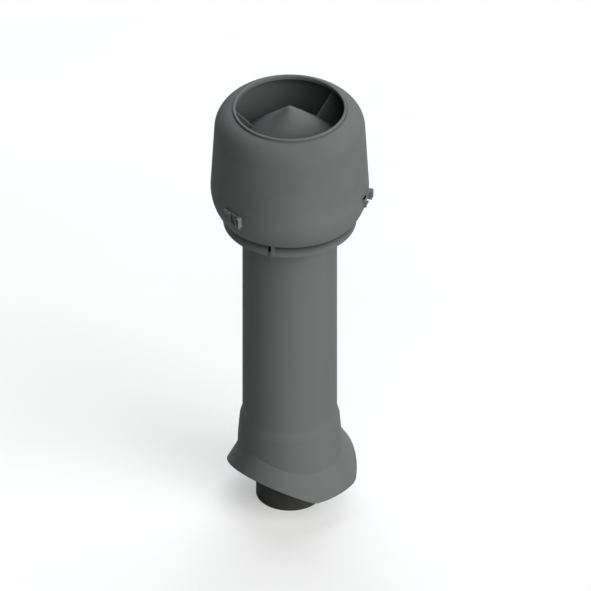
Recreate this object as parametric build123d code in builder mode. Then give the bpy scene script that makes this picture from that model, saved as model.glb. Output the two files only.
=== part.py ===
from build123d import *
import math
import os

# Roof vent pipe: a double-walled pipe with a saddle skirt at its foot and a barrel hood
# with a rain cone on top. Lengths are millimetres and angles are degrees. The origin is on
# the pipe's axis at the lower end of the inner duct, and +Z points up the pipe. The skirt
# arches up towards +Y and -Y and hangs lower towards +X and -X.

# Inner duct
duct_radius = 57.0
duct_wall = 1.9
duct_chamfer = 0.6
duct_rise = 12.0          # stands out this far above the collar's cap
stop_width = 3.0          # collar round the duct that carries the foam sleeve
stop_height = 5.0

# Outer pipe and its bell
pipe_radius = 80.0
pipe_wall = 3.0
pipe_top = 640.0
bell_top = 181.5          # the pipe widens to the bell's neck below this height
bell_neck_radius = 84.0
bell_neck_level = 169.5
bell_radius = 88.5
bell_foot_level = 112.0   # the bell is widest from here down

# Saddle skirt under the bell
skirt_wall = 3.5
skirt_top = 126.1         # the flare starts inside the bell's wall at this height
skirt_bottom = 45.9
skirt_tuck_x = 18.4       # how far inside the bell it starts at +X and -X
skirt_tuck_y = 4.0        # how far inside the bell it starts at +Y and -Y
skirt_slope_x = 27.6      # slope from the vertical towards the low lobes
skirt_slope_y = 28.9      # slope from the vertical towards the arched ends
skirt_lean = 4.4          # the whole flare leans this much towards +Y
saddle_top = 83.5
saddle_radius = 159.0

# Hood shell
hood_radius = 134.0
hood_wall = 3.0
hood_widest = 636.0
hood_lower_edge = 588.3
hood_lower_round = 87.0
hood_taper = 3.2
hood_taper_length = 113.6
hood_shoulder_round = 40.2
lip_radius = 96.6
lip_rise = 3.3
lip_groove = 1.6
throat_radius = 92.0
throat_depth = 12.0
lip_chamfer = 1.2
foot_bands = 5            # conical bands of the hood's inner face
shoulder_bands = 7

# Rain cone and its vanes
cone_radius = 97.0
cone_slope = 40.7
cone_wall = 2.5
cone_tip_round = 9.0
cone_drip = 5.0
cone_above_rim = 1.5
vane_angles = (90.0, 210.0, 330.0)
vane_thickness = 2.6
vane_start = 63.5         # radius where a vane's upper edge leaves the cone
vane_slope = 40.5
vane_foot_width = 16.0

# Hood base
ring_gap = 4.35           # between the ring and the hood's foot
ring_wall = 3.0
ring_bottom = 562.7
ring_top = 600.0
floor_step = 4.0
floor_ribs = 12
floor_rib_width = 2.4
drain_angles = (57.6, 177.6, 297.6)
drain_width = 5.6
drain_height = 21.0
drain_rib_width = 6.0
drain_rib_rise = 2.5

# Latches that hold the hood on the base
latch_angles = (30.0, 150.0, 270.0)
latch_level = 630.0
latch_width = 41.0
latch_height = 24.0
latch_bar = 2.8
latch_rise = 3.0
latch_sag = 4.0           # fall of the foot bar towards the arch
latch_pad = 8.0
latch_arch_width = 12.0
latch_arch_rise = 9.0
latch_pad_rise = 4.5
lug_width = 11.0
lug_height = 12.0
lug_recess = 2.0
lug_clearance = 1.0
tab_width = 20.0

# Fits
fit_gap = 0.3


def upright_plane(angle):
    """Vertical plane through the axis, its local x outward at this angle, its local y up."""
    heading = math.radians(angle)
    outward = (math.cos(heading), math.sin(heading), 0)
    sideways = (math.sin(heading), -math.cos(heading), 0)
    return Plane(origin=(0, 0, 0), x_dir=outward, z_dir=sideways)


def facing_plane(angle, radius):
    """Plane that faces outward at this angle and radius, its local y up."""
    heading = math.radians(angle)
    outward = (math.cos(heading), math.sin(heading), 0)
    along = (-math.sin(heading), math.cos(heading), 0)
    return Plane(origin=(0, 0, 0), x_dir=along, z_dir=outward).offset(radius)


def round_point(centre, radius, angle):
    """Point on a circle in the (radius, height) plane."""
    return (
        centre[0] + radius * math.cos(math.radians(angle)),
        centre[1] + radius * math.sin(math.radians(angle)),
    )


# The hood wall is an arc at the foot, a straight taper and a shoulder arc, all tangent.
lower_centre = (hood_radius - hood_lower_round, hood_widest)
lower_start = -math.degrees(math.asin((hood_widest - hood_lower_edge) / hood_lower_round))
taper_foot = round_point(lower_centre, hood_lower_round, hood_taper)
taper_head = round_point(taper_foot, hood_taper_length, 90 + hood_taper)
shoulder_centre = round_point(taper_head, -hood_shoulder_round, hood_taper)
lip_middle = (lip_radius + throat_radius) / 2
shoulder_end = math.degrees(math.acos((lip_middle - shoulder_centre[0]) / hood_shoulder_round))
rim_top = round_point(shoulder_centre, hood_shoulder_round, shoulder_end)[1] + lip_rise
groove_floor = rim_top - lip_rise - lip_groove
ring_radius = round_point(lower_centre, hood_lower_round - hood_wall, lower_start)[0] - ring_gap


def arc_points(centre, radius, start, end, bands):
    """Points that divide an arc of the (radius, height) plane into bands, both ends included."""
    return [round_point(centre, radius, start + (end - start) * band / bands) for band in range(bands + 1)]


def banded_wall(inset):
    """Points of the hood's section from its foot to its lip, this far inside its outer face."""
    foot = arc_points(lower_centre, hood_lower_round - inset, lower_start, hood_taper, foot_bands)
    shoulder_round = hood_shoulder_round - inset
    shoulder = arc_points(shoulder_centre, shoulder_round, hood_taper, shoulder_end, shoulder_bands)
    return foot + shoulder


def hood_radius_at(level):
    """Outside radius of the hood at a height on its foot arc or its taper."""
    if level < taper_foot[1]:
        return lower_centre[0] + math.sqrt(hood_lower_round**2 - (level - hood_widest) ** 2)
    return taper_foot[0] - (level - taper_foot[1]) * math.tan(math.radians(hood_taper))


os.makedirs("parts", exist_ok=True)

# Inner duct: a black tube, chamfered at the end that goes into the duct below, with a collar
# that carries the foam sleeve.
cap_top = pipe_top + ring_wall
with BuildPart() as duct_pipe:
    with BuildSketch():
        Circle(duct_radius)
        Circle(duct_radius - duct_wall, mode=Mode.SUBTRACT)
    extrude(amount=cap_top + duct_rise)
    foot_edges = duct_pipe.edges().group_by(Axis.Z)[0].sort_by(SortBy.RADIUS)
    chamfer(foot_edges[-1], length=duct_chamfer)
    with BuildSketch(Plane.XY.offset(bell_top - stop_height)):
        Circle(duct_radius + stop_width)
        Circle(duct_radius - duct_wall / 2, mode=Mode.SUBTRACT)
    extrude(amount=stop_height)
duct_pipe.part.label = "duct_pipe"
export_step(duct_pipe.part, "parts/duct_pipe.step")

# Outer pipe, bell and saddle skirt, moulded in one.
skirt_drop = skirt_top - skirt_bottom
skirt_lean_shift = skirt_drop * math.tan(math.radians(skirt_lean))
skirt_x_spread = skirt_drop * math.tan(math.radians(skirt_slope_x))
skirt_y_spread = skirt_drop * math.tan(math.radians(skirt_slope_y))
skirt_x_start = bell_radius - skirt_tuck_x
skirt_y_start = bell_radius - skirt_tuck_y
pipe_bore = pipe_radius - pipe_wall
with BuildPart() as outer_pipe:
    with BuildSketch(Plane.XZ):
        with BuildLine():
            Polyline(
                (0, skirt_bottom),
                (bell_radius, skirt_bottom),
                (bell_radius, bell_foot_level),
                (bell_neck_radius, bell_neck_level),
                (pipe_radius, bell_top),
                (pipe_radius, pipe_top),
                (0, pipe_top),
                close=True,
            )
        make_face()
    revolve(axis=Axis.Z)
    with BuildSketch(Plane.XY.offset(skirt_top)):
        Ellipse(skirt_x_start, skirt_y_start)
    with BuildSketch(Plane.XY.offset(skirt_bottom)):
        with Locations((0, skirt_lean_shift)):
            Ellipse(skirt_x_start + skirt_x_spread, skirt_y_start + skirt_y_spread)
    loft()
    with BuildSketch(Plane.XY.offset(skirt_top)):
        Ellipse(skirt_x_start - skirt_wall, skirt_y_start - skirt_wall)
    with BuildSketch(Plane.XY.offset(skirt_bottom)):
        with Locations((0, skirt_lean_shift)):
            Ellipse(
                skirt_x_start + skirt_x_spread - skirt_wall,
                skirt_y_start + skirt_y_spread - skirt_wall,
            )
    loft(mode=Mode.SUBTRACT)
    with BuildSketch(Plane.XZ):
        with BuildLine():
            Polyline(
                (0, skirt_bottom),
                (bell_radius - pipe_wall, skirt_bottom),
                (bell_radius - pipe_wall, bell_foot_level),
                (bell_neck_radius - pipe_wall, bell_neck_level),
                (pipe_bore, bell_top),
                (pipe_bore, pipe_top),
                (0, pipe_top),
                close=True,
            )
        make_face()
    revolve(axis=Axis.Z, mode=Mode.SUBTRACT)
    with BuildSketch(Plane.XZ):
        with Locations((0, saddle_top - saddle_radius)):
            Circle(saddle_radius)
    extrude(amount=2 * saddle_radius, both=True, mode=Mode.SUBTRACT)
outer_pipe.part.label = "outer_pipe"
export_step(outer_pipe.part, "parts/outer_pipe.step")

# Foam sleeve that fills the space between the duct and the outer pipe.
with BuildPart() as insulation_sleeve:
    with BuildSketch(Plane.XY.offset(bell_top)):
        Circle(pipe_bore - fit_gap)
        Circle(duct_radius + fit_gap, mode=Mode.SUBTRACT)
    extrude(amount=pipe_top - bell_top)
insulation_sleeve.part.label = "insulation_sleeve"
export_step(insulation_sleeve.part, "parts/insulation_sleeve.step")

# Collar: a sleeve over the pipe's top, with a cap that closes the foam.
sleeve_bore = pipe_radius + fit_gap
sleeve_radius = sleeve_bore + ring_wall
ring_bore = ring_radius - ring_wall
floor_under = ring_bottom + floor_step
latch_radius = hood_radius_at(latch_level)
lug_top = latch_level + lug_height / 2
with BuildPart() as pipe_collar:
    with BuildSketch(Plane.XZ):
        with BuildLine():
            Polyline(
                (sleeve_bore, floor_under),
                (sleeve_radius, floor_under),
                (sleeve_radius, cap_top),
                (duct_radius + fit_gap, cap_top),
                (duct_radius + fit_gap, pipe_top),
                (sleeve_bore, pipe_top),
                close=True,
            )
        make_face()
    revolve(axis=Axis.Z)
pipe_collar.part.label = "pipe_collar"
export_step(pipe_collar.part, "parts/pipe_collar.step")

# Hood base: a drip ring and a floor round the collar.
with BuildPart() as hood_base:
    with BuildSketch(Plane.XZ):
        with BuildLine():
            Polyline(
                (sleeve_radius, floor_under),
                (ring_bore, floor_under),
                (ring_bore, ring_bottom),
                (ring_radius, ring_bottom),
                (ring_radius, ring_top),
                (ring_bore, ring_top),
                (ring_bore, floor_under + ring_wall),
                (sleeve_radius, floor_under + ring_wall),
                close=True,
            )
        make_face()
    revolve(axis=Axis.Z)
    # Radial ribs under the floor.
    for rib in range(floor_ribs):
        with BuildSketch(upright_plane(rib * 360 / floor_ribs)):
            with BuildLine():
                Polyline(
                    (sleeve_radius, floor_under + ring_wall / 2),
                    (ring_radius - ring_wall / 2, floor_under + ring_wall / 2),
                    (ring_radius - ring_wall / 2, ring_bottom),
                    (sleeve_radius, floor_under),
                    close=True,
                )
            make_face()
        extrude(amount=floor_rib_width / 2, both=True)
    # Drain slots through the ring, each with a raised rib beside it.
    for angle in drain_angles:
        with BuildSketch(facing_plane(angle, ring_bore - ring_wall)):
            with Locations((0, ring_bottom + drain_height / 2)):
                Rectangle(drain_width, drain_height)
        extrude(amount=3 * ring_wall, mode=Mode.SUBTRACT)
        with BuildSketch(facing_plane(angle, ring_radius - ring_wall / 2)):
            with Locations(((drain_width + drain_rib_width) / 2, (ring_bottom + ring_top) / 2)):
                Rectangle(drain_rib_width, ring_top - ring_bottom)
        extrude(amount=ring_wall / 2 + drain_rib_rise)
    # Springy tabs with lugs that reach into the hood's windows.
    for angle in latch_angles:
        with BuildSketch(facing_plane(angle, ring_bore)):
            with Locations((0, (floor_under + ring_wall + lug_top) / 2)):
                Rectangle(tab_width, lug_top - floor_under - ring_wall)
        extrude(amount=ring_wall)
        with BuildSketch(facing_plane(angle, ring_bore)):
            with Locations((0, latch_level)):
                Rectangle(lug_width, lug_height)
        extrude(amount=latch_radius - lug_recess - ring_bore)
hood_base.part.label = "hood_base"
export_step(hood_base.part, "parts/hood_base.step")

# Hood shell: the barrel, its throat ring with the raised lip, and three latch windows.
with BuildPart() as hood_shell:
    with BuildSketch(Plane.XZ):
        with BuildLine():
            foot = round_point(lower_centre, hood_lower_round, lower_start)
            foot_middle = round_point(lower_centre, hood_lower_round, (lower_start + hood_taper) / 2)
            shoulder_middle = round_point(
                shoulder_centre, hood_shoulder_round, (hood_taper + shoulder_end) / 2
            )
            lip = round_point(shoulder_centre, hood_shoulder_round, shoulder_end)
            ThreePointArc(foot, foot_middle, taper_foot)
            Line(taper_foot, taper_head)
            ThreePointArc(taper_head, shoulder_middle, lip)
            Polyline(foot, *banded_wall(hood_wall), lip)
        make_face()
    revolve(axis=Axis.Z)
    with BuildSketch(Plane.XZ):
        with Locations((lip_radius + lip_groove / 2, groove_floor + lip_rise / 2 + lip_groove)):
            Rectangle(lip_groove, lip_rise + 2 * lip_groove)
    revolve(axis=Axis.Z, mode=Mode.SUBTRACT)
    with BuildSketch(Plane.XZ) as throat_section:
        with Locations((lip_middle, rim_top - throat_depth / 2)):
            Rectangle(lip_radius - throat_radius, throat_depth)
        chamfer(throat_section.vertices(), length=lip_chamfer)
    revolve(axis=Axis.Z)
    for angle in latch_angles:
        with BuildSketch(facing_plane(angle, latch_radius - 4 * hood_wall)):
            with Locations((0, latch_level - lug_clearance / 2 + fit_gap / 2)):
                Rectangle(lug_width + 2 * lug_clearance, lug_height + lug_clearance + fit_gap)
        extrude(amount=8 * hood_wall, mode=Mode.SUBTRACT)
hood_shell.part.label = "hood_shell"
export_step(hood_shell.part, "parts/hood_shell.step")

# Rain cone with its three vanes, whose feet stand on the hood base's ring.
cone_fall = math.tan(math.radians(cone_slope))
tip_centre = (0, rim_top + cone_above_rim - cone_tip_round)
cone_apex = tip_centre[1] + cone_tip_round / math.cos(math.radians(cone_slope))
cone_under = cone_wall / math.cos(math.radians(cone_slope))
cone_edge = cone_apex - cone_radius * cone_fall
vane_low = cone_apex - vane_start * cone_fall - cone_under / 2
vane_rise = math.tan(math.radians(vane_slope))
foot_radius = ring_radius - vane_foot_width / 2


def draw_cone_tip(radius):
    """Draws the rounded tip of one face of the cone, and gives the point where it ends."""
    slope_start = 90 - cone_slope
    middle = round_point(tip_centre, radius, (90 + slope_start) / 2)
    end = round_point(tip_centre, radius, slope_start)
    ThreePointArc((0, tip_centre[1] + radius), middle, end)
    return end


with BuildPart() as hood_cavity:
    with BuildSketch(Plane.XZ):
        with BuildLine():
            cavity_wall = banded_wall(hood_wall + fit_gap)
            Polyline(*cavity_wall, (0, cavity_wall[-1][1]), (0, cavity_wall[0][1]), close=True)
        make_face()
    revolve(axis=Axis.Z)
with BuildPart() as vanes:
    for angle in vane_angles:
        with BuildSketch(upright_plane(angle)):
            with BuildLine():
                Polyline(
                    (vane_start, vane_low),
                    (hood_radius, vane_low + (hood_radius - vane_start) * vane_rise),
                    (hood_radius, ring_top),
                    (foot_radius, ring_top),
                    (cone_radius - cone_wall, cone_edge - cone_drip),
                    (cone_radius - cone_wall, cone_edge),
                    close=True,
                )
            make_face()
        extrude(amount=vane_thickness / 2, both=True)
    add(hood_cavity.part, mode=Mode.INTERSECT)
with BuildPart() as rain_cone:
    with BuildSketch(Plane.XZ):
        with BuildLine():
            outer_tip = draw_cone_tip(cone_tip_round)
            inner_tip = draw_cone_tip(cone_tip_round - cone_wall)
            Polyline(
                outer_tip,
                (cone_radius, cone_edge),
                (cone_radius, cone_edge - cone_drip),
                (cone_radius - cone_wall, cone_edge - cone_drip),
                (cone_radius - cone_wall, cone_edge - cone_under + cone_wall * cone_fall),
                inner_tip,
            )
            Line((0, tip_centre[1] + cone_tip_round), (0, tip_centre[1] + cone_tip_round - cone_wall))
        make_face()
    revolve(axis=Axis.Z)
    add(vanes.part)
rain_cone.part.label = "rain_cone"
export_step(rain_cone.part, "parts/rain_cone.step")

# Latches: an arch, a top bar, an upright, a sloping foot bar and a grip pad, in one.
with BuildPart() as hood_body:
    with BuildSketch(Plane.XZ):
        with BuildLine():
            body_wall = banded_wall(-fit_gap)
            Polyline(*body_wall, (0, body_wall[-1][1]), (0, body_wall[0][1]), close=True)
        make_face()
    revolve(axis=Axis.Z)
latch_side = latch_width / 2
latch_upper = latch_level + latch_height / 2
latch_lower = latch_level - latch_height / 2
latch_root = hood_radius_at(latch_lower - latch_sag) - 2 * hood_wall
latch_reach = latch_radius - latch_root
upright_place = -(lug_width / 2 + lug_clearance + latch_bar / 2)
arch_place = latch_side - latch_arch_width / 2
arch_round = latch_arch_width / 2
arch_eye = arch_round - latch_bar * 2 / 3
arch_spring = latch_upper - arch_round
arch_foot = latch_lower + latch_bar
for number, angle in enumerate(latch_angles, start=1):
    latch_plane = facing_plane(angle, latch_root)
    with BuildPart() as latch:
        # Top bar, upright and sloping foot bar around the hood's window.
        with BuildSketch(latch_plane):
            with BuildLine():
                Polyline(
                    (-latch_side, latch_upper),
                    (arch_place, latch_upper),
                    (arch_place, latch_upper - latch_bar),
                    (-latch_side, latch_upper - latch_bar),
                    close=True,
                )
            make_face()
            with Locations((upright_place, latch_level)):
                Rectangle(latch_bar, latch_height)
            with BuildLine():
                Polyline(
                    (upright_place - latch_bar / 2, latch_lower + latch_bar),
                    (upright_place - latch_bar / 2, latch_lower),
                    (arch_place, latch_lower - latch_sag),
                    (arch_place, latch_lower - latch_sag + latch_bar),
                    close=True,
                )
            make_face()
        extrude(amount=latch_reach + latch_rise)
        # Arch, open below.
        with BuildSketch(latch_plane):
            with Locations((arch_place, arch_spring)):
                Circle(arch_round)
            with Locations((arch_place, (arch_spring + arch_foot) / 2)):
                Rectangle(latch_arch_width, arch_spring - arch_foot)
            with Locations((arch_place, arch_spring)):
                Circle(arch_eye, mode=Mode.SUBTRACT)
            with Locations((arch_place, (arch_spring + arch_foot) / 2)):
                Rectangle(2 * arch_eye, arch_spring - arch_foot, mode=Mode.SUBTRACT)
        extrude(amount=latch_reach + latch_arch_rise)
        # Grip pad at the other end.
        with BuildSketch(latch_plane):
            with Locations(((upright_place - latch_side) / 2, latch_upper - latch_pad / 2)):
                Rectangle(upright_place + latch_side, latch_pad)
        extrude(amount=latch_reach + latch_pad_rise)
        add(hood_body.part, mode=Mode.SUBTRACT)
    latch.part.label = f"latch_{number}"
    export_step(latch.part, f"parts/latch_{number}.step")
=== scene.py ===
import math

import bmesh
import bpy
from mathutils import Matrix, Vector


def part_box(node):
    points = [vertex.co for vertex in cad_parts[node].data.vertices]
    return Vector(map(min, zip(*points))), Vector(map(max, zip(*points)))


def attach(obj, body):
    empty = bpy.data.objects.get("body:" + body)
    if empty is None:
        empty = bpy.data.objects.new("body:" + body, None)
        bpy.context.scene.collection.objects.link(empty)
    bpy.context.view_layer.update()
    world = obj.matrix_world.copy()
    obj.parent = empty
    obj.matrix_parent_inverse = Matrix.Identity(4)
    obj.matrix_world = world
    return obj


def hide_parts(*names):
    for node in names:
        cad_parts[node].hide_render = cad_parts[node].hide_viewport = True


# Roof vent pipe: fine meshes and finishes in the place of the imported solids, on a pale floor.
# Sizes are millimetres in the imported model's frame, and MM turns them into Blender's metres.
# A section is a list of (radius, height) points. Angles are degrees.

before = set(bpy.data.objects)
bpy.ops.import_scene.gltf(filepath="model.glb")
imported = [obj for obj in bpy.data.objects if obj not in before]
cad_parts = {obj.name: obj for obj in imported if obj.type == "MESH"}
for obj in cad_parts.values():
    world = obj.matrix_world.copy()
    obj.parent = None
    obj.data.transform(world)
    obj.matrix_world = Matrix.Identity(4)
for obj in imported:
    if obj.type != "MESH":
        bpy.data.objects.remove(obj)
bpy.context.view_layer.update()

MM = 0.001

# How finely curves are divided
ROUND_STEPS = 180
ARC_STEPS = 5
SKIRT_STEPS = 14
HOOD_LOWER_STEPS = 14
HOOD_SHOULDER_STEPS = 20
TIP_STEPS = 8
VANE_STEPS = 28
ARCH_STEPS = 16
HALVINGS = 40

# Lengths in metres below which points and faces count as the same
MERGE_DISTANCE = 1e-6
SLIVER_WIDTH = 1e-7

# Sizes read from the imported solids
rim_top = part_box("hood_shell")[1].z / MM
hood_lower_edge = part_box("hood_shell")[0].z / MM
duct_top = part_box("duct_pipe")[1].z / MM
pipe_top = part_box("outer_pipe")[1].z / MM
skirt_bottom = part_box("outer_pipe")[0].z / MM
foam_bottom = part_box("insulation_sleeve")[0].z / MM
ring_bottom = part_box("hood_base")[0].z / MM

# Inner duct
duct_radius = 57.0
duct_wall = 1.9
duct_chamfer = 0.6
stop_width = 3.0
stop_height = 5.0

# Outer pipe, bell and saddle skirt
pipe_radius = 80.0
pipe_wall = 3.0
bell_top = 177.0
bell_neck_radius = 84.6
bell_neck_level = 160.5
bell_radius = 88.5
bell_foot_level = 112.0
bell_body_level = 124.0  # above the crease all the way round
bell_top_round = 34.0
bell_neck_round = 9.0
skirt_wall = 3.5
skirt_top = 126.1
skirt_tuck_x = 18.4
skirt_tuck_y = 4.0
skirt_slope_x = 27.6
skirt_slope_y = 28.9
skirt_lean = 4.4
saddle_top = 83.5
saddle_radius = 159.0
crease_round = 1.5

# Hood shell
hood_radius = 134.0
hood_wall = 3.0
hood_widest = 636.0
hood_lower_round = 87.0
hood_taper = 3.2
hood_taper_length = 113.6
hood_shoulder_round = 40.2
lip_radius = 96.6
lip_rise = 3.3
lip_groove = 1.6
throat_radius = 92.0
throat_depth = 8.0

# Rain cone and its vanes
cone_radius = 97.0
cone_slope = 40.7
cone_wall = 2.5
cone_tip_round = 9.0
cone_drip = 5.0
cone_above_rim = 1.5
vane_angles = (90.0, 210.0, 330.0)
vane_thickness = 2.6
vane_start = 63.5
vane_slope = 40.5
vane_foot_width = 16.0

# Hood base
ring_gap = 4.35
ring_wall = 3.0
ring_top = 600.0
floor_step = 4.0
floor_ribs = 12
floor_rib_width = 2.4
drain_angles = (57.6, 177.6, 297.6)
drain_width = 5.6
drain_height = 21.0
drain_rib_width = 6.0
drain_rib_rise = 2.5

# Latches
latch_angles = (30.0, 150.0, 270.0)
latch_level = 630.0
latch_width = 41.0
latch_height = 24.0
latch_bar = 2.8
latch_rise = 2.6
latch_foot_rise = 0.8
latch_sag = 4.0
latch_pad = 5.0
latch_arch_width = 8.6
latch_arch_rise = 7.8
latch_arch_height = 19.5
latch_arch_strap = 1.3
latch_arch_inset = 2.0
latch_pad_rise = 4.5
lug_width = 11.0
lug_height = 12.0
lug_recess = 0.9
lug_clearance = 1.0
tab_width = 20.0
tab_recess = 0.7

# Fits and edge roundings
fit_gap = 0.3
edge_round = 0.8
fine_round = 0.5


# Points and outlines

def round_point(centre, radius, angle):
    """Point on a circle in the section plane."""
    turn = math.radians(angle)
    return (centre[0] + radius * math.cos(turn), centre[1] + radius * math.sin(turn))


def arc(centre, radius, start, end, steps):
    """Unrounded outline corners along an arc, both ends included."""
    corners = []
    for step in range(steps + 1):
        angle = start + (end - start) * step / steps
        corners.append((*round_point(centre, radius, angle), 0))
    return corners


def soften(corners):
    """Closed outline through (x, y, radius) corners, each rounded to its radius."""
    outline = []
    for index, (x, y, radius) in enumerate(corners):
        here = Vector((x, y))
        if radius == 0:
            outline.append(here)
            continue
        before = (Vector(corners[index - 1][:2]) - here).normalized()
        after = (Vector(corners[(index + 1) % len(corners)][:2]) - here).normalized()
        half_turn = before.angle(after) / 2
        reach = radius / math.tan(half_turn)
        centre = here + (before + after).normalized() * radius / math.sin(half_turn)
        start = here + before * reach - centre
        end = here + after * reach - centre
        for step in range(ARC_STEPS + 1):
            outline.append(centre + start.lerp(end, step / ARC_STEPS).normalized() * radius)
    return outline


def turning_point(low, high, below):
    """Value between low and high where below(value) stops being true."""
    for _ in range(HALVINGS):
        middle = (low + high) / 2
        if below(middle):
            low = middle
        else:
            high = middle
    return high


def rounded_rectangle(width, height, centre, radius):
    """Corners of a rectangle, for soften."""
    left = centre[0] - width / 2
    low = centre[1] - height / 2
    return [
        (left, low, radius),
        (left + width, low, radius),
        (left + width, low + height, radius),
        (left, low + height, radius),
    ]


def upright_axes(angle):
    """Axes of a vertical plane through the pipe's axis: outward, up and sideways."""
    turn = math.radians(angle)
    outward = Vector((math.cos(turn), math.sin(turn), 0))
    up = Vector((0, 0, 1))
    return Matrix((outward, up, outward.cross(up))).transposed()


def facing_axes(angle):
    """Axes of a plane that faces outward: along the wall, up and outward."""
    turn = math.radians(angle)
    outward = Vector((math.cos(turn), math.sin(turn), 0))
    up = Vector((0, 0, 1))
    return Matrix((up.cross(outward), up, outward)).transposed()


# Meshes

def finish_bmesh(shape):
    """Merges doubled points, drops flat slivers and turns every face outward."""
    bmesh.ops.remove_doubles(shape, verts=shape.verts, dist=MERGE_DISTANCE)
    bmesh.ops.dissolve_degenerate(shape, edges=shape.edges, dist=SLIVER_WIDTH)
    bmesh.ops.recalc_face_normals(shape, faces=shape.faces)
    mesh = bpy.data.meshes.new("shape")
    shape.to_mesh(mesh)
    shape.free()
    return mesh


def wrap(section_at, steps=ROUND_STEPS):
    """Closed ring mesh whose closed section at each angle round the axis is section_at(angle)."""
    shape = bmesh.new()
    columns = []
    for step in range(steps):
        angle = 360 * step / steps
        turn = math.radians(angle)
        column = []
        for radius, height in section_at(angle):
            column.append(
                shape.verts.new((radius * math.cos(turn) * MM, radius * math.sin(turn) * MM, height * MM))
            )
        columns.append(column)
    for step in range(steps):
        here = columns[step - 1]
        there = columns[step]
        for index in range(len(here)):
            if here[index].co.xy.length + here[index - 1].co.xy.length < SLIVER_WIDTH:
                continue
            shape.faces.new((here[index - 1], here[index], there[index], there[index - 1]))
    return finish_bmesh(shape)


def revolve(outline, steps=ROUND_STEPS):
    """Ring mesh with the same section all the way round."""
    return wrap(lambda angle: outline, steps)


def prism(outline, axes, start, end, bevel=0.0):
    """Closed mesh of a flat outline pushed along its plane's normal, with its edges rounded."""
    shape = bmesh.new()
    ends = []
    for depth in (start, end):
        ends.append([shape.verts.new(axes @ Vector((x, y, depth)) * MM) for x, y in outline])
    count = len(outline)
    for index in range(count):
        shape.faces.new((ends[0][index - 1], ends[0][index], ends[1][index], ends[1][index - 1]))
    caps = [shape.faces.new(ends[0]), shape.faces.new(ends[1])]
    if bevel:
        rims = {edge for cap in caps for edge in cap.edges}
        bmesh.ops.bevel(shape, geom=list(rims), offset=bevel * MM, segments=2, affect="EDGES", profile=0.5)
    return finish_bmesh(shape)


def combined(base, tools, operation):
    """The base mesh joined with the tool meshes, or cut by them."""
    scratch = bpy.data.objects.new("scratch", base)
    bpy.context.scene.collection.objects.link(scratch)
    helpers = []
    for tool in tools:
        helper = bpy.data.objects.new("tool", tool)
        bpy.context.scene.collection.objects.link(helper)
        helpers.append(helper)
        cut = scratch.modifiers.new("cut", "BOOLEAN")
        cut.object = helper
        cut.operation = operation
        cut.solver = "EXACT"
    graph = bpy.context.evaluated_depsgraph_get()
    mesh = bpy.data.meshes.new_from_object(scratch.evaluated_get(graph))
    for made in (*helpers, scratch):
        bpy.data.objects.remove(made)
    return mesh


def shade(mesh, sharp_angle=32.0):
    """Smooth faces, with sharp edges where the surface turns by more than the angle."""
    shape = bmesh.new()
    shape.from_mesh(mesh)
    for face in shape.faces:
        face.smooth = True
    for edge in shape.edges:
        edge.smooth = edge.calc_face_angle(math.pi) < math.radians(sharp_angle)
    shape.to_mesh(mesh)
    shape.free()


def add_piece(name, mesh, material, node):
    """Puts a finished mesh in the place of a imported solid."""
    shade(mesh)
    mesh.name = name
    mesh.materials.clear()
    mesh.materials.append(material)
    piece = bpy.data.objects.new(name, mesh)
    bpy.context.scene.collection.objects.link(piece)
    normals = piece.modifiers.new("normals", "WEIGHTED_NORMAL")
    normals.keep_sharp = True
    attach(piece, "root")
    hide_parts(node)
    return piece


# Inner duct and foam

def make_duct():
    stop_top = foam_bottom
    stop_edge = duct_radius + stop_width
    bore = duct_radius - duct_wall
    return revolve(soften([
        (bore, 0, fine_round),
        (duct_radius - duct_chamfer, 0, fine_round),
        (duct_radius, duct_chamfer, fine_round),
        (duct_radius, stop_top - stop_height, fine_round),
        (stop_edge, stop_top - stop_height, fine_round),
        (stop_edge, stop_top, fine_round),
        (duct_radius, stop_top, 0),
        (duct_radius, duct_top, edge_round),
        (bore, duct_top, edge_round),
    ]))


def make_foam():
    inner = duct_radius + fit_gap
    outer = pipe_radius - pipe_wall - fit_gap
    return revolve(soften([
        (inner, foam_bottom, fine_round),
        (outer, foam_bottom, fine_round),
        (outer, pipe_top, 0),
        (inner, pipe_top, 0),
    ]))


# Outer pipe with its bell and saddle skirt

def skirt_radius(angle, height, inset):
    """Radius of the flared skirt's face at this angle and height, this far inside its outer face."""
    drop = skirt_top - height
    half_x = bell_radius - skirt_tuck_x - inset + drop * math.tan(math.radians(skirt_slope_x))
    half_y = bell_radius - skirt_tuck_y - inset + drop * math.tan(math.radians(skirt_slope_y))
    shift = drop * math.tan(math.radians(skirt_lean))
    along_x = math.cos(math.radians(angle)) / half_x
    along_y = math.sin(math.radians(angle)) / half_y
    offset_y = shift / half_y
    a = along_x**2 + along_y**2
    b = along_y * offset_y
    c = offset_y**2 - 1
    return (b + math.sqrt(b * b - a * c)) / a


def bell_radius_at(height):
    """Outside radius of the bell, which tapers from its foot level up to its neck."""
    share = (height - bell_foot_level) / (bell_neck_level - bell_foot_level)
    return bell_radius + (bell_neck_radius - bell_radius) * max(share, 0)


def crease_height(angle, inset):
    """Height where the skirt's face meets the bell's at this angle."""
    bell_inset = pipe_wall if inset else 0

    def outside_bell(height):
        return skirt_radius(angle, height, inset) > bell_radius_at(height) - bell_inset

    return turning_point(skirt_bottom, skirt_top, outside_bell)


def saddle_height(angle, inset):
    """Height where the skirt's face ends at this angle: at the arch, or at the flat low edge."""

    def under_arch(height):
        x = skirt_radius(angle, height, inset) * math.cos(math.radians(angle))
        arch = saddle_top - saddle_radius + math.sqrt(saddle_radius**2 - x * x)
        return height < max(arch, skirt_bottom)

    return turning_point(skirt_bottom, skirt_top, under_arch)


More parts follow.
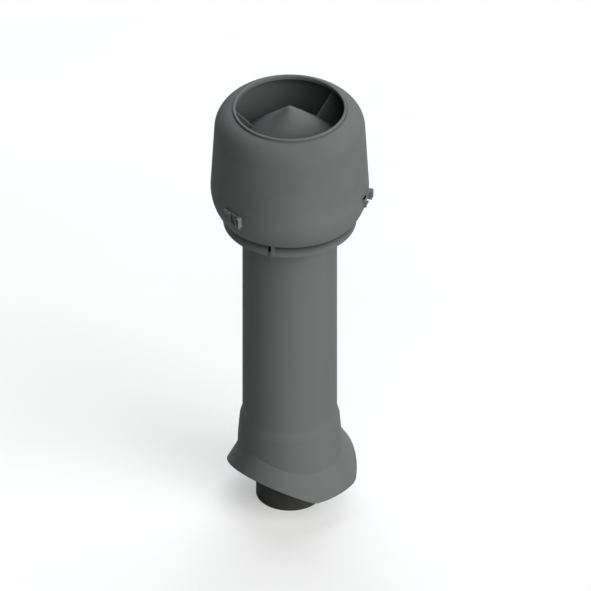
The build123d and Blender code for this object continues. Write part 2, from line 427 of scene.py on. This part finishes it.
def make_outer_pipe():
    bore = pipe_radius - pipe_wall
    body_radius = bell_radius_at(bell_body_level)

    def face_of(angle, inset):
        """Corners of one face, from the skirt's edge up to the crease under the bell."""
        foot = saddle_height(angle, inset)
        crease = crease_height(angle, inset)
        corners = []
        for step in range(SKIRT_STEPS + 1):
            height = foot + (crease - foot) * step / SKIRT_STEPS
            corners.append((skirt_radius(angle, height, inset), height, 0))
        corners[0] = (*corners[0][:2], edge_round)
        corners[-1] = (*corners[-1][:2], crease_round)
        return corners

    def section_at(angle):
        return soften([
            *face_of(angle, 0),
            (body_radius, bell_body_level, 0),
            (bell_neck_radius, bell_neck_level, bell_neck_round),
            (pipe_radius, bell_top, bell_top_round),
            (pipe_radius, pipe_top, edge_round),
            (bore, pipe_top, edge_round),
            (bore, bell_top, bell_top_round),
            (bell_neck_radius - pipe_wall, bell_neck_level, bell_neck_round),
            (body_radius - pipe_wall, bell_body_level, 0),
            *reversed(face_of(angle, skirt_wall)),
        ])

    return wrap(section_at, 2 * ROUND_STEPS)


# Hood shell

lower_centre = (hood_radius - hood_lower_round, hood_widest)
lower_start = -math.degrees(math.asin((hood_widest - hood_lower_edge) / hood_lower_round))
taper_foot = round_point(lower_centre, hood_lower_round, hood_taper)
taper_head = round_point(taper_foot, hood_taper_length, 90 + hood_taper)
shoulder_centre = round_point(taper_head, -hood_shoulder_round, hood_taper)
ring_radius = round_point(lower_centre, hood_lower_round - hood_wall, lower_start)[0] - ring_gap


def shoulder_angle(radius, inset):
    """Angle on the shoulder's arc where it comes in to this radius."""
    return math.degrees(math.acos((radius - shoulder_centre[0]) / (hood_shoulder_round - inset)))


def hood_face(inset, lip_edge):
    """Corners of one face of the hood's wall, from its foot up to this radius at the lip."""
    lower = hood_lower_round - inset
    shoulder = hood_shoulder_round - inset
    return [
        *arc(lower_centre, lower, lower_start, hood_taper, HOOD_LOWER_STEPS),
        *arc(shoulder_centre, shoulder, hood_taper, shoulder_angle(lip_edge, inset), HOOD_SHOULDER_STEPS),
    ]


def hood_radius_at(level, inset=0.0):
    """Radius of the hood's wall at a height."""
    if level < taper_foot[1]:
        return lower_centre[0] + math.sqrt((hood_lower_round - inset) ** 2 - (level - hood_widest) ** 2)
    if level < taper_head[1]:
        slope = math.radians(hood_taper)
        return taper_foot[0] - (level - taper_foot[1]) * math.tan(slope) - inset / math.cos(slope)
    return shoulder_centre[0] + math.sqrt(
        max((hood_shoulder_round - inset) ** 2 - (level - shoulder_centre[1]) ** 2, 0)
    )


latch_radius = hood_radius_at(latch_level)


def make_hood():
    groove_floor = rim_top - lip_rise - lip_groove
    lip_round = (lip_radius - throat_radius) / 3
    outer = hood_face(0, lip_radius + lip_groove)
    inner = hood_face(hood_wall, lip_radius)
    outer[0] = (*outer[0][:2], edge_round)
    inner[0] = (*inner[0][:2], edge_round)
    shell = revolve(soften([
        *outer,
        (lip_radius + lip_groove, groove_floor, 0),
        (lip_radius, groove_floor, 0),
        (lip_radius, rim_top, lip_round),
        (throat_radius, rim_top, lip_round),
        (throat_radius, rim_top - throat_depth, lip_round),
        (lip_radius, rim_top - throat_depth, lip_round),
        *reversed(inner),
    ]))
    window_width = lug_width + 2 * lug_clearance
    window_height = lug_height + lug_clearance + fit_gap
    window_level = latch_level - lug_clearance / 2 + fit_gap / 2
    outline = soften(rounded_rectangle(window_width, window_height, (0, window_level), edge_round))
    reach = 4 * hood_wall
    windows = []
    for angle in latch_angles:
        windows.append(prism(outline, facing_axes(angle), latch_radius - reach, latch_radius + reach))
    return combined(shell, windows, "DIFFERENCE")


# Rain cone with its vanes

def make_rain_cone():
    fall = math.tan(math.radians(cone_slope))
    tip_centre = (0, rim_top + cone_above_rim - cone_tip_round)
    apex = tip_centre[1] + cone_tip_round / math.cos(math.radians(cone_slope))
    under = cone_wall / math.cos(math.radians(cone_slope))
    edge = apex - cone_radius * fall
    drip = edge - cone_drip
    inner_edge = cone_radius - cone_wall
    slope_start = 90 - cone_slope
    cone = revolve(soften([
        *arc(tip_centre, cone_tip_round, 90, slope_start, TIP_STEPS),
        (cone_radius, edge, edge_round),
        (cone_radius, drip, edge_round),
        (inner_edge, drip, edge_round),
        (inner_edge, edge - under + cone_wall * fall, 0),
        *arc(tip_centre, cone_tip_round - cone_wall, slope_start, 90, TIP_STEPS),
    ]))
    vane_low = apex - vane_start * fall - under / 2
    rise = math.tan(math.radians(vane_slope))
    inset = hood_wall + fit_gap

    def inside_hood(radius):
        return hood_radius_at(vane_low + (radius - vane_start) * rise, inset) > radius

    vane_edge = turning_point(vane_start, hood_radius, inside_hood)
    vane_high = vane_low + (vane_edge - vane_start) * rise
    wall = []
    for step in range(VANE_STEPS + 1):
        level = vane_high + (ring_top - vane_high) * step / VANE_STEPS
        wall.append((hood_radius_at(level, inset), level, 0))
    outline = soften([
        (vane_start, vane_low, 0),
        *wall,
        (ring_radius - vane_foot_width / 2, ring_top, fine_round),
        (inner_edge, drip, 0),
        (inner_edge, edge, 0),
    ])
    half = vane_thickness / 2
    vanes = []
    for angle in vane_angles:
        vanes.append(prism(outline, upright_axes(angle), -half, half, bevel=fine_round))
    return combined(cone, vanes, "UNION")


# Hood base

sleeve_bore = pipe_radius + fit_gap
sleeve_edge = sleeve_bore + ring_wall
floor_under = ring_bottom + floor_step


def make_collar():
    cap_top = pipe_top + ring_wall
    duct_hole = duct_radius + fit_gap
    return revolve(soften([
        (sleeve_bore, floor_under, fine_round),
        (sleeve_edge, floor_under, fine_round),
        (sleeve_edge, cap_top, edge_round),
        (duct_hole, cap_top, edge_round),
        (duct_hole, pipe_top, fine_round),
        (sleeve_bore, pipe_top, edge_round),
    ]))


def make_hood_base():
    ring_bore = ring_radius - ring_wall
    lug_top = latch_level + lug_height / 2
    base = revolve(soften([
        (sleeve_edge, floor_under, fine_round),
        (ring_bore, floor_under, edge_round),
        (ring_bore, ring_bottom, edge_round),
        (ring_radius, ring_bottom, edge_round),
        (ring_radius, ring_top, edge_round),
        (ring_bore, ring_top, edge_round),
        (ring_bore, floor_under + ring_wall, 2 * edge_round),
        (sleeve_edge, floor_under + ring_wall, fine_round),
    ]))
    drains = []
    drain = [
        (-drain_width / 2, ring_bottom - ring_wall),
        (drain_width / 2, ring_bottom - ring_wall),
        (drain_width / 2, ring_bottom + drain_height),
        (-drain_width / 2, ring_bottom + drain_height),
    ]
    for angle in drain_angles:
        drains.append(prism(drain, facing_axes(angle), ring_bore - ring_wall, ring_radius + 2 * ring_wall))
    base = combined(base, drains, "DIFFERENCE")
    added = []
    rib_root = ring_radius - ring_wall / 2
    rib_outline = [
        (sleeve_edge, floor_under + ring_wall / 2),
        (rib_root, floor_under + ring_wall / 2),
        (rib_root, ring_bottom + edge_round),
        (sleeve_edge, floor_under),
    ]
    for rib in range(floor_ribs):
        axes = upright_axes(rib * 360 / floor_ribs)
        added.append(prism(rib_outline, axes, -floor_rib_width / 2, floor_rib_width / 2))
    rib_centre = ((drain_width + drain_rib_width) / 2, (ring_bottom + ring_top) / 2)
    drain_rib = soften(rounded_rectangle(drain_rib_width, ring_top - ring_bottom, rib_centre, edge_round))
    rib_face = ring_radius + drain_rib_rise
    for angle in drain_angles:
        added.append(prism(drain_rib, facing_axes(angle), rib_root, rib_face, bevel=edge_round))
    tab_foot = floor_under + ring_wall
    tab = soften(rounded_rectangle(tab_width, lug_top - tab_foot, (0, (lug_top + tab_foot) / 2), edge_round))
    lug = soften(rounded_rectangle(lug_width, lug_height, (0, latch_level), edge_round))
    for angle in latch_angles:
        axes = facing_axes(angle)
        added.append(prism(tab, axes, ring_bore - fine_round, ring_radius - tab_recess))
        added.append(prism(lug, axes, ring_bore + fine_round, latch_radius - lug_recess, bevel=edge_round))
    return combined(base, added, "UNION")


# Latches

def make_latch(angle, hood_body):
    axes = facing_axes(angle)
    side = latch_width / 2
    upper = latch_level + latch_height / 2
    lower = latch_level - latch_height / 2
    root = hood_radius_at(lower - latch_sag) - 2 * hood_wall
    upright_place = -(lug_width / 2 + lug_clearance + latch_bar / 2)
    arch_place = side - latch_arch_inset - latch_arch_width / 2
    arch_round = latch_arch_width / 2
    arch_eye = arch_round - latch_arch_strap
    arch_foot = upper - latch_arch_height
    face = latch_radius + latch_rise

    top_bar = soften([
        (-side, upper, fine_round),
        (-side, upper - latch_bar, fine_round),
        (arch_place, upper - latch_bar, fine_round),
        (arch_place, upper, fine_round),
    ])
    upright = soften(rounded_rectangle(latch_bar, latch_height, (upright_place, latch_level), fine_round))
    foot_bar = soften([
        (upright_place - latch_bar / 2, lower + latch_bar, fine_round),
        (upright_place - latch_bar / 2, lower, fine_round),
        (arch_place, lower - latch_sag, fine_round),
        (arch_place, lower - latch_sag + latch_bar, fine_round),
    ])
    pad_width = upright_place + side
    pad_centre = (pad_width / 2 - side, upper - latch_pad / 2)
    pad = soften(rounded_rectangle(pad_width, latch_pad, pad_centre, edge_round))
    arch_centre = (arch_place, upper - arch_round)
    arch_outline = [
        *arc(arch_centre, arch_round, 0, 180, ARCH_STEPS),
        (arch_place - arch_round, arch_foot, 0),
        (arch_place - arch_eye, arch_foot, 0),
        *arc(arch_centre, arch_eye, 180, 0, ARCH_STEPS),
        (arch_place + arch_eye, arch_foot, 0),
        (arch_place + arch_round, arch_foot, 0),
    ]
    latch = prism(soften(arch_outline), axes, root, latch_radius + latch_arch_rise, bevel=fine_round)
    joined = [
        prism(top_bar, axes, root, face, bevel=fine_round),
        prism(upright, axes, root, face, bevel=fine_round),
        prism(foot_bar, axes, root, latch_radius + latch_foot_rise),
        prism(pad, axes, root, latch_radius + latch_pad_rise, bevel=edge_round),
    ]
    latch = combined(latch, joined, "UNION")
    return combined(latch, [hood_body.copy()], "DIFFERENCE")


def make_hood_body():
    """The hood as a full body, which trims the latches to its wall."""
    face = hood_face(-fit_gap, lip_radius)
    top = face[-1][1]
    foot = face[0][1]
    return revolve(soften([*face, (0, top, 0), (0, foot, 0)]))


# Materials. Scales are features a metre, and shares are parts of a base colour.

NOISE_RANGE = (0.3, 0.7)
CLOUD_SCALE = 9.0
CLOUD_SHARES = (0.93, 1.07)
PATCH_SCALE = 60.0
MOTTLE_DETAIL = 3.0  # for clouds and patches
WAVE_SCALE = 45.0
WAVE_STRENGTH = 0.12
WAVE_DEPTH = 0.6
GRAIN_SCALE = 1500.0
GRAIN_STRENGTH = 0.16
GRAIN_DEPTH = 0.08
PLASTIC_ROUGHNESS = (0.62, 0.74)
PLASTIC_SHINE = 0.06
PIPE_FLOW = (1, 1, 0.15)
DUCT_FLOW = (1, 1, 0.06)
LATCH_SHARE = 1.3

FOAM_CELL_SCALE = 420.0
FOAM_CELL_EDGE = 0.12
FOAM_GAP_SHARE = 0.55
FOAM_STRENGTH = 0.5
FOAM_DEPTH = 0.8
FOAM_SHINE = 0.1
MATT_ROUGHNESS = 0.9

grey_colour = (0.064, 0.0675, 0.0665)
black_colour = (0.024, 0.024, 0.0235)
foam_colour = (0.30, 0.30, 0.29)

# Painted shade on the base ring: darker under the hood's edge and inside the ring
painted_shade_on_face = 0.18
painted_shade_inside = 0.1
painted_shade_start = 3.0
painted_shade_margin = 0.5
painted_shade_fade = 1.0


class Nodes:
    """Short ways to add and link the nodes of one material."""

    def __init__(self, name):
        self.material = bpy.data.materials.new(name)
        self.material.use_nodes = True
        self.tree = self.material.node_tree
        self.shader = self.tree.nodes["Principled BSDF"]
        self.place = self.add("ShaderNodeTexCoord").outputs["Object"]

    def add(self, kind):
        return self.tree.nodes.new(kind)

    def link(self, source, target):
        self.tree.links.new(source, target)

    def noise(self, scale, detail=2.0, stretch=(1, 1, 1)):
        """Noise at this many features a metre, stretched along an axis where its value is under 1."""
        mapping = self.add("ShaderNodeMapping")
        mapping.inputs["Scale"].default_value = stretch
        self.link(self.place, mapping.inputs["Vector"])
        noise = self.add("ShaderNodeTexNoise")
        noise.inputs["Scale"].default_value = scale
        noise.inputs["Detail"].default_value = detail
        self.link(mapping.outputs["Vector"], noise.inputs["Vector"])
        return noise.outputs["Fac"]

    def ramp(self, value, low, high, start=NOISE_RANGE[0], end=NOISE_RANGE[1]):
        """Colour that runs from low to high as the value goes from start to end."""
        ramp = self.add("ShaderNodeValToRGB")
        ramp.color_ramp.elements[0].position = start
        ramp.color_ramp.elements[0].color = (*low, 1)
        ramp.color_ramp.elements[1].position = end
        ramp.color_ramp.elements[1].color = (*high, 1)
        self.link(value, ramp.inputs["Fac"])
        return ramp.outputs["Color"]

    def rescale(self, value, low, high):
        """The middle of a noise's range spread from low to high."""
        spread = self.add("ShaderNodeMapRange")
        spread.inputs["From Min"].default_value = NOISE_RANGE[0]
        spread.inputs["From Max"].default_value = NOISE_RANGE[1]
        spread.inputs["To Min"].default_value = low
        spread.inputs["To Max"].default_value = high
        self.link(value, spread.inputs["Value"])
        return spread.outputs["Result"]

    def fade(self, value, start, end, before, after):
        """Goes from before to after as the value goes from start to end, in millimetres."""
        fade = self.add("ShaderNodeMapRange")
        fade.interpolation_type = "SMOOTHSTEP"
        fade.inputs["From Min"].default_value = start * MM
        fade.inputs["From Max"].default_value = end * MM
        self.link(value, fade.inputs["Value"])
        for name, level in (("To Min", before), ("To Max", after)):
            if isinstance(level, float):
                fade.inputs[name].default_value = level
            else:
                self.link(level, fade.inputs[name])
        return fade.outputs["Result"]

    def with_painted_shade(self, colour):
        """The colour darkened by painted shade on the base ring, under the hood's edge and inside the ring.
        """
        parts = self.add("ShaderNodeSeparateXYZ")
        self.link(self.place, parts.inputs["Vector"])
        height = parts.outputs["Z"]
        flat = self.add("ShaderNodeCombineXYZ")
        self.link(parts.outputs["X"], flat.inputs["X"])
        self.link(parts.outputs["Y"], flat.inputs["Y"])
        length = self.add("ShaderNodeVectorMath")
        length.operation = "LENGTH"
        self.link(flat.outputs["Vector"], length.inputs[0])
        radius = length.outputs["Value"]
        rib_edge = ring_radius + painted_shade_margin
        bore_edge = ring_radius - painted_shade_fade
        floor_edge = floor_under + painted_shade_margin
        # Painted shade: darkest at the hood's edge, left off the drain ribs, dark inside the ring, and none
        # under the ring's floor
        on_face = self.fade(height, ring_bottom + painted_shade_start, hood_lower_edge, 1.0, painted_shade_on_face)
        on_ribs = self.fade(radius, rib_edge, rib_edge + painted_shade_fade, on_face, 1.0)
        inside = self.fade(radius, bore_edge - painted_shade_fade, bore_edge, painted_shade_inside, on_ribs)
        share = self.fade(height, floor_edge, floor_edge + painted_shade_fade, 1.0, inside)
        scaled = self.add("ShaderNodeVectorMath")
        scaled.operation = "SCALE"
        self.link(colour, scaled.inputs[0])
        self.link(share, scaled.inputs["Scale"])
        return scaled.outputs["Vector"]

    def bump(self, height, strength, depth, normal=None):
        """Normals of a relief this many millimetres deep, on top of other normals."""
        bump = self.add("ShaderNodeBump")
        bump.inputs["Strength"].default_value = strength
        bump.inputs["Distance"].default_value = depth * MM
        self.link(height, bump.inputs["Height"])
        if normal:
            self.link(normal, bump.inputs["Normal"])
        return bump.outputs["Normal"]


def tint(colour, factor):
    return tuple(channel * factor for channel in colour)


def moulded_plastic(name, colour, flow=(1, 1, 1), with_painted_shade=False):
    """Satin moulded plastic: a cloudy tone, faint flow marks and a fine grain, with painted shade if asked
    for.
    """
    nodes = Nodes(name)
    clouds = nodes.noise(CLOUD_SCALE, MOTTLE_DETAIL, flow)
    tone = nodes.ramp(clouds, tint(colour, CLOUD_SHARES[0]), tint(colour, CLOUD_SHARES[1]))
    if with_painted_shade:
        tone = nodes.with_painted_shade(tone)
    nodes.link(tone, nodes.shader.inputs["Base Color"])
    patches = nodes.noise(PATCH_SCALE, MOTTLE_DETAIL, flow)
    nodes.link(nodes.rescale(patches, *PLASTIC_ROUGHNESS), nodes.shader.inputs["Roughness"])
    waves = nodes.bump(nodes.noise(WAVE_SCALE, stretch=flow), WAVE_STRENGTH, WAVE_DEPTH)
    grain = nodes.bump(nodes.noise(GRAIN_SCALE), GRAIN_STRENGTH, GRAIN_DEPTH, waves)
    nodes.link(grain, nodes.shader.inputs["Normal"])
    nodes.shader.inputs["Specular IOR Level"].default_value = PLASTIC_SHINE
    return nodes.material


def foam_material(name, colour):
    """Closed-cell foam: packed cells with dark gaps."""
    nodes = Nodes(name)
    cells = nodes.add("ShaderNodeTexVoronoi")
    cells.feature = "DISTANCE_TO_EDGE"
    cells.inputs["Scale"].default_value = FOAM_CELL_SCALE
    nodes.link(nodes.place, cells.inputs["Vector"])
    edge = cells.outputs["Distance"]
    tone = nodes.ramp(edge, tint(colour, FOAM_GAP_SHARE), colour, 0.0, FOAM_CELL_EDGE)
    nodes.link(tone, nodes.shader.inputs["Base Color"])
    nodes.link(nodes.bump(edge, FOAM_STRENGTH, FOAM_DEPTH), nodes.shader.inputs["Normal"])
    nodes.shader.inputs["Roughness"].default_value = MATT_ROUGHNESS
    nodes.shader.inputs["Specular IOR Level"].default_value = FOAM_SHINE
    return nodes.material


hood_plastic = moulded_plastic("hood_plastic", grey_colour)
pipe_plastic = moulded_plastic("pipe_plastic", grey_colour, PIPE_FLOW)
# The base ring's plastic carries painted shade under the hood's edge and inside the ring.
ring_plastic = moulded_plastic("ring_plastic", grey_colour, with_painted_shade=True)
latch_plastic = moulded_plastic("latch_plastic", tint(grey_colour, LATCH_SHARE))
duct_plastic = moulded_plastic("duct_plastic", black_colour, DUCT_FLOW)
foam = foam_material("foam", foam_colour)


# Pieces

add_piece("inner_duct", make_duct(), duct_plastic, "duct_pipe")
add_piece("foam_sleeve", make_foam(), foam, "insulation_sleeve")
add_piece("pipe_and_skirt", make_outer_pipe(), pipe_plastic, "outer_pipe")
add_piece("hood", make_hood(), hood_plastic, "hood_shell")
add_piece("cone_and_vanes", make_rain_cone(), hood_plastic, "rain_cone")
add_piece("collar", make_collar(), pipe_plastic, "pipe_collar")
add_piece("base_ring", make_hood_base(), ring_plastic, "hood_base")
hood_body_mesh = make_hood_body()
for number, latch_angle in enumerate(latch_angles, start=1):
    latch_mesh = make_latch(latch_angle, hood_body_mesh)
    add_piece(f"latch_loop_{number}", latch_mesh, latch_plastic, f"latch_{number}")


# Floor, light and camera

FLOOR_SIZE = 14.0
FLOOR_NOISE_SCALE = 3.0
FLOOR_TONES = (0.27, 0.28)
FLOOR_GLOW = 0.39
SKY_STRENGTH = 0.025
FRAME_PIXELS = 591
PIXELS_PER_METRE = 592.0
ORIGIN_PIXEL = (289.75, 491.5)
VIEW_AZIMUTH = 45.0
VIEW_ELEVATION = 35.264
CAMERA_DISTANCE = 4.0


def make_floor():
    mesh = bpy.data.meshes.new("floor")
    half = FLOOR_SIZE / 2
    corners = [(-half, -half, 0), (half, -half, 0), (half, half, 0), (-half, half, 0)]
    mesh.from_pydata(corners, [], [(0, 1, 2, 3)])
    nodes = Nodes("floor")
    dark, light = FLOOR_TONES
    tone = nodes.ramp(nodes.noise(FLOOR_NOISE_SCALE), (dark, dark, dark), (light, light, light))
    nodes.link(tone, nodes.shader.inputs["Base Color"])
    nodes.shader.inputs["Roughness"].default_value = MATT_ROUGHNESS
    nodes.shader.inputs["Specular IOR Level"].default_value = 0.0
    nodes.shader.inputs["Emission Color"].default_value = (1, 1, 1, 1)
    nodes.shader.inputs["Emission Strength"].default_value = FLOOR_GLOW
    mesh.materials.append(nodes.material)
    floor = bpy.data.objects.new("floor", mesh)
    bpy.context.scene.collection.objects.link(floor)


def direction(plan_angle, elevation):
    """Unit vector that points this way in plan and this far above the horizon."""
    plan = math.radians(plan_angle)
    height = math.radians(elevation)
    return Vector((math.cos(plan) * math.cos(height), math.sin(plan) * math.cos(height), math.sin(height)))


def add_sun(name, plan_angle, elevation, strength, softness, colour):
    """Wide soft lamp that shines from this direction, over an angle of softness."""
    light = bpy.data.lights.new(name, "SUN")
    light.color = colour
    light.energy = strength
    light.angle = math.radians(softness)
    lamp = bpy.data.objects.new(name, light)
    lamp.rotation_euler = direction(plan_angle, elevation).to_track_quat("Z", "Y").to_euler()
    bpy.context.scene.collection.objects.link(lamp)


def make_light():
    warm = (1.0, 0.99, 0.975)
    neutral = (1.0, 1.0, 0.99)
    cool = (0.94, 0.985, 1.0)
    add_sun("key", plan_angle=10.0, elevation=21.0, strength=4.95, softness=50.0, colour=warm)
    add_sun("front", plan_angle=-20.0, elevation=45.0, strength=2.7, softness=60.0, colour=neutral)
    add_sun("back", plan_angle=131.0, elevation=41.0, strength=5.3, softness=60.0, colour=cool)
    world = bpy.data.worlds.new("studio")
    world.use_nodes = True
    world.node_tree.nodes["Background"].inputs["Color"].default_value = (1, 1, 1, 1)
    world.node_tree.nodes["Background"].inputs["Strength"].default_value = SKY_STRENGTH
    bpy.context.scene.world = world
    bpy.context.scene.view_settings.view_transform = "Standard"


def make_camera():
    backward = direction(VIEW_AZIMUTH - 90, VIEW_ELEVATION)
    rotation = backward.to_track_quat("Z", "Y")
    right = rotation @ Vector((1, 0, 0))
    up = rotation @ Vector((0, 1, 0))
    middle = FRAME_PIXELS / 2
    target = (
        right * (middle - ORIGIN_PIXEL[0]) / PIXELS_PER_METRE
        + up * (ORIGIN_PIXEL[1] - middle) / PIXELS_PER_METRE
    )
    data = bpy.data.cameras.new("camera")
    data.type = "ORTHO"
    data.ortho_scale = FRAME_PIXELS / PIXELS_PER_METRE
    camera = bpy.data.objects.new("camera", data)
    camera.location = target + backward * CAMERA_DISTANCE
    camera.rotation_euler = rotation.to_euler()
    bpy.context.scene.collection.objects.link(camera)
    bpy.context.scene.camera = camera


make_floor()
make_light()
make_camera()
